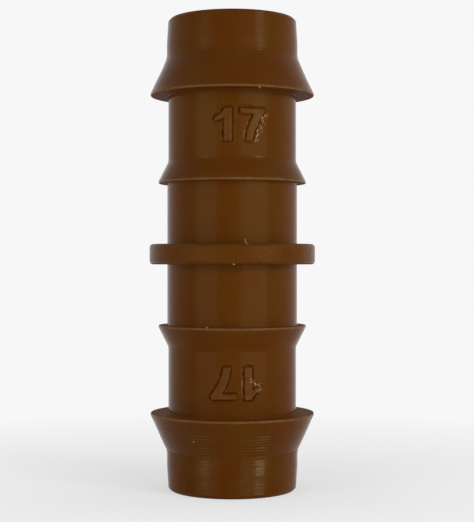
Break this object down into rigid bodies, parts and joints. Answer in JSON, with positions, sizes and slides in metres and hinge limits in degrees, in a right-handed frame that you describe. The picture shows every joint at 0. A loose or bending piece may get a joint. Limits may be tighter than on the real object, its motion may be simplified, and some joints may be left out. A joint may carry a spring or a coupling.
{
  "type": "drip line coupler",
  "caption": "Straight barbed coupler: a short pipe with a stop collar at its middle and, on each spigot, a small and a large barb that hold a drip line pushed over them.",
  "frame": {"origin": "centre of the ring-shaped end face that the coupler stands on", "axes": "+Z along the pipe axis, from the standing end to the other end, and -Y is the side with the size numbers"},
  "size_m": [0.0172, 0.0172, 0.0489],
  "materials": {
    "brown_plastic": "satin, as moulded, with fine turned rings from the mould on the noses and large barbs"
  },
  "bodies": {
    "root": {"barbed_coupler": "brown_plastic"}
  },
  "joints": []
}
